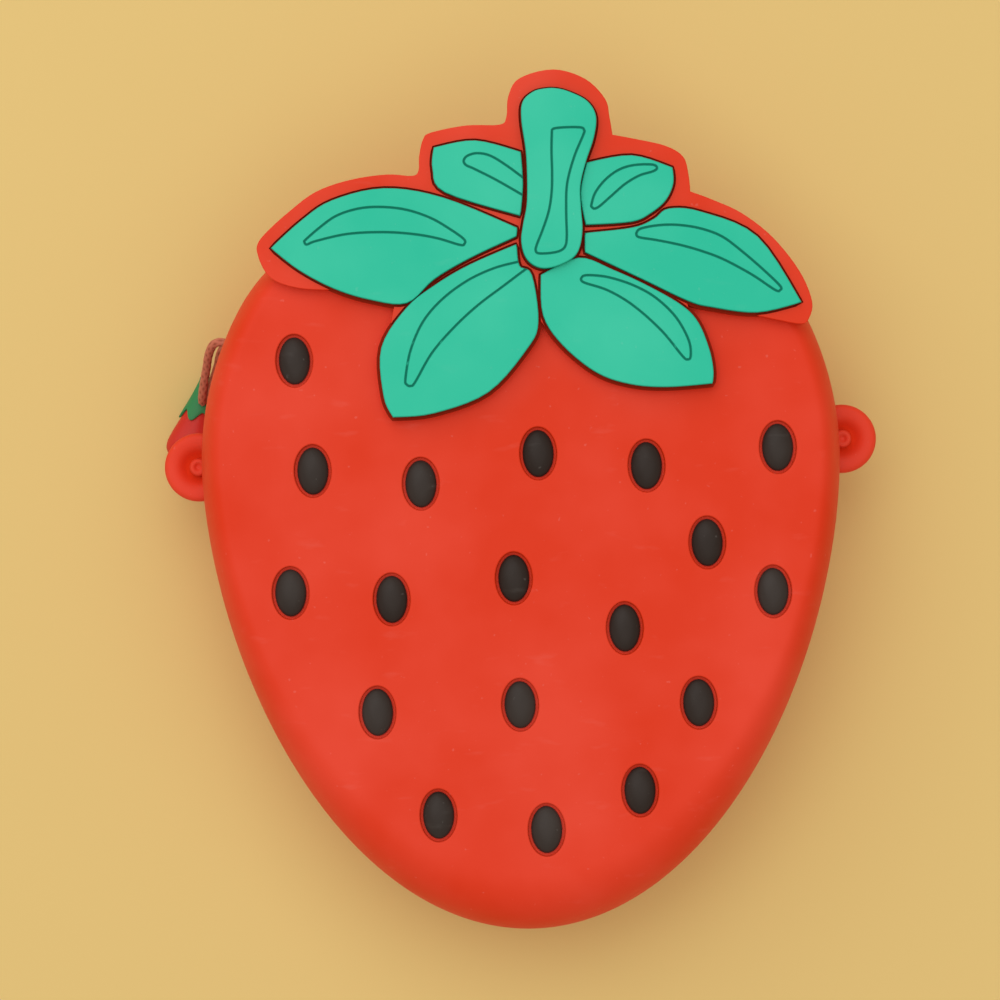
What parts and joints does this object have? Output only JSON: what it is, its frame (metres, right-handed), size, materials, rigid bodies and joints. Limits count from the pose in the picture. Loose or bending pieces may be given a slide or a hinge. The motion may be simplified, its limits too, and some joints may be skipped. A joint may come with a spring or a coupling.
{
  "type": "fruit-shaped silicone bag",
  "caption": "Small moulded silicone bag shaped like a strawberry, with leafy front, oval seeds, zip round the top, two strap lugs and a charm on the zip pull.",
  "frame": {"origin": "centre of the bounding box's underside, on the flat back, without the cord loop and its charm", "axes": "+Z out of the front face, +Y towards the stem, +X to the viewer's right"},
  "size_m": [0.1461, 0.1719, 0.0432],
  "materials": {
    "red_silicone": "matt moulded silicone with faint scuffs",
    "green_silicone": "matt moulded silicone",
    "black_silicone": "satin moulded silicone",
    "zip_tape": "woven polyester",
    "zip_teeth": "moulded resin teeth",
    "zip_metal": "plated die cast",
    "braided_cord": "round braid",
    "charm_red": "glossy soft silicone",
    "charm_green": "satin soft silicone"
  },
  "bodies": {
    "bag": {"back_shell": "red_silicone", "front_shell_lower": "red_silicone", "strap_lug_left": "red_silicone", "strap_lug_right": "red_silicone", "strap_stud_left": "red_silicone", "strap_stud_right": "red_silicone", "zip_tape_back": "zip_tape", "zip_teeth_back": "zip_teeth", "zip_stop_left": "zip_metal", "zip_stop_right": "zip_metal", "seed_02": "black_silicone", "seed_03": "black_silicone", "seed_04": "black_silicone", "seed_05": "black_silicone", "seed_06": "black_silicone", "seed_07": "black_silicone", "seed_08": "black_silicone", "seed_09": "black_silicone", "seed_10": "black_silicone", "seed_11": "black_silicone", "seed_12": "black_silicone", "seed_13": "black_silicone", "seed_14": "black_silicone", "seed_15": "black_silicone", "seed_16": "black_silicone", "seed_17": "black_silicone", "seed_18": "black_silicone"},
    "front_flap": {"front_shell_upper": "red_silicone", "calyx_plate": "red_silicone", "leaf_left": "green_silicone", "leaf_upper_left": "green_silicone", "leaf_upper_right": "green_silicone", "leaf_right": "green_silicone", "leaf_lower_right": "green_silicone", "leaf_lower_left": "green_silicone", "stem": "green_silicone", "seed_01": "black_silicone", "zip_tape_front": "zip_tape", "zip_teeth_front": "zip_teeth"},
    "slider": {"slider_body": "zip_metal", "slider_crown": "zip_metal"},
    "pull": {"pull_loop": "braided_cord"},
    "charm": {"charm_fruit": "charm_red", "charm_leaf_cap": "charm_green"}
  },
  "joints": [
    {"name": "zip_slide", "type": "hinge", "parent": "bag", "child": "slider", "pos_m": [0, 0.00908, 0.019], "axis": [0, 0, 1], "range_deg": [-139, 0]},
    {"name": "mouth_open", "type": "hinge", "parent": "bag", "child": "front_flap", "pos_m": [0, 0.01658, 0.038], "axis": [1, 0, 0], "range_deg": [0, 28], "deforming": ["zip_tape_front", "zip_teeth_front"]},
    {"name": "charm_swing", "type": "hinge", "parent": "slider", "child": "pull", "pos_m": [-0.05744, 0.03346, 0.019], "axis": [0, 0, 1], "range_deg": [-75, 0]},
    {"name": "charm_turn", "type": "hinge", "parent": "pull", "child": "charm", "pos_m": [-0.0655, 0.02408, 0.0053], "axis": [0, 0, -1], "range_deg": [0, 15]}
  ],
  "couplings": [
    {"joint": "mouth_open", "follows": "zip_slide", "ratio": -0.2014}
  ]
}
